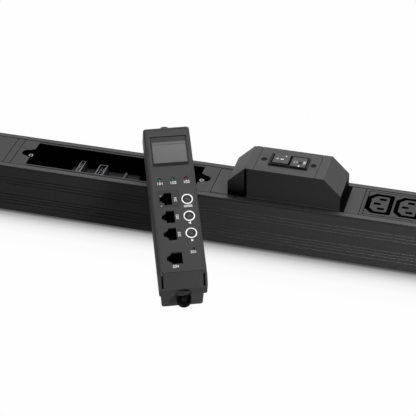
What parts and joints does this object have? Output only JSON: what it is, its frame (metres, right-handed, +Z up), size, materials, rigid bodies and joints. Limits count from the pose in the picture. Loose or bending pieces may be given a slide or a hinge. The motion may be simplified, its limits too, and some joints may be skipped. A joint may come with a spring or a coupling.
{
  "type": "rack power distribution unit",
  "caption": "Straight black rail unit with a leaning display module, an open module bay, a raised circuit breaker housing and a row of power outlets.",
  "frame": {"origin": "centre of the rail's rear face, which lies on the floor", "axes": "+X along the rail from the inlet end to the outlet end, +Z up out of the outlets, +Y away from the leaning module"},
  "size_m": [0.6104, 0.1645, 0.1025],
  "materials": {
    "rail_aluminium": "matte black anodised, fine grain",
    "cap_plastic": "matte black",
    "dark_screw": "black oxide",
    "moulding_plastic": "fine matte black moulding",
    "contact_metal": "nickel-plated",
    "cover_plastic": "matte black, fine grain",
    "bright_steel": "bright zinc",
    "carrier_plastic": "matte dark grey",
    "header_plastic": "satin black",
    "housing_plastic": "matte black, fine grain",
    "breaker_plastic": "satin black",
    "rocker_plastic": "satin black",
    "tray_plastic": "plain pale insulating plastic",
    "copper_bar": "plain copper",
    "module_plastic": "matte black, fine grain",
    "module_rear_plastic": "matte black",
    "display_plastic": "satin black",
    "display_glass": "clear, slightly grey",
    "panel_plastic": "plain grey display",
    "green_lens": "diffuse green",
    "red_lens": "diffuse red",
    "key_plastic": "matte black",
    "ring_plastic": "plain white",
    "switch_plastic": "plain black",
    "jack_plastic": "satin black",
    "board_plastic": "green circuit board"
  },
  "bodies": {
    "unit": {"rail": "rail_aluminium", "left_end_cap": "cap_plastic", "right_end_cap": "cap_plastic", "end_cap_screws": "dark_screw", "inlet_body": "moulding_plastic", "inlet_blades": "contact_metal", "left_cover": "cover_plastic", "divider_strip": "cover_plastic", "bay_frame": "cover_plastic", "bay_nuts": "bright_steel", "connector_carrier": "carrier_plastic", "carrier_screws": "dark_screw", "power_header": "header_plastic", "signal_header": "header_plastic", "header_pins": "contact_metal", "breaker_housing": "housing_plastic", "breaker_plate": "housing_plastic", "breaker_screws": "dark_screw", "circuit_breaker": "breaker_plastic", "breaker_terminals": "contact_metal", "middle_cover": "cover_plastic", "outlet_strip": "moulding_plastic", "bar_tray": "tray_plastic", "line_feed_bar": "copper_bar", "line_bar": "copper_bar", "neutral_bar": "copper_bar", "earth_bar": "copper_bar", "outlet_contacts": "contact_metal", "module_front": "module_plastic", "module_rear": "module_rear_plastic", "captive_screws": "bright_steel", "display_frame": "display_plastic", "display_glass": "display_glass", "display_panel": "panel_plastic", "panel_spacers": "tray_plastic", "green_light_guides": "green_lens", "red_light_guide": "red_lens", "key_rings": "ring_plastic", "key_switches": "switch_plastic", "network_jack": "jack_plastic", "serial_jack": "jack_plastic", "link_jack": "jack_plastic", "sensor_jack": "jack_plastic", "jack_contacts": "contact_metal", "circuit_board": "board_plastic", "module_power_plug": "header_plastic", "module_signal_plug": "header_plastic"},
    "rocker": {"breaker_rocker": "rocker_plastic"},
    "menu": {"menu_key": "key_plastic"},
    "up": {"up_key": "key_plastic"},
    "down": {"down_key": "key_plastic"}
  },
  "joints": [
    {"name": "rocker_tilt", "type": "hinge", "parent": "unit", "child": "rocker", "pos_m": [0.03005, 0, 0.0739], "axis": [0, 1, 0], "range_deg": [-8, 0]},
    {"name": "menu_press", "type": "slide", "parent": "unit", "child": "menu", "axis": [-0.1749, 0.4181, -0.8914], "range_m": [0, 0.0005], "stiffness_N_per_m": 400, "springref_m": -0.0005},
    {"name": "up_press", "type": "slide", "parent": "unit", "child": "up", "axis": [-0.1749, 0.4181, -0.8914], "range_m": [0, 0.0005], "stiffness_N_per_m": 400, "springref_m": -0.0005},
    {"name": "down_press", "type": "slide", "parent": "unit", "child": "down", "axis": [-0.1749, 0.4181, -0.8914], "range_m": [0, 0.0005], "stiffness_N_per_m": 400, "springref_m": -0.0005}
  ]
}
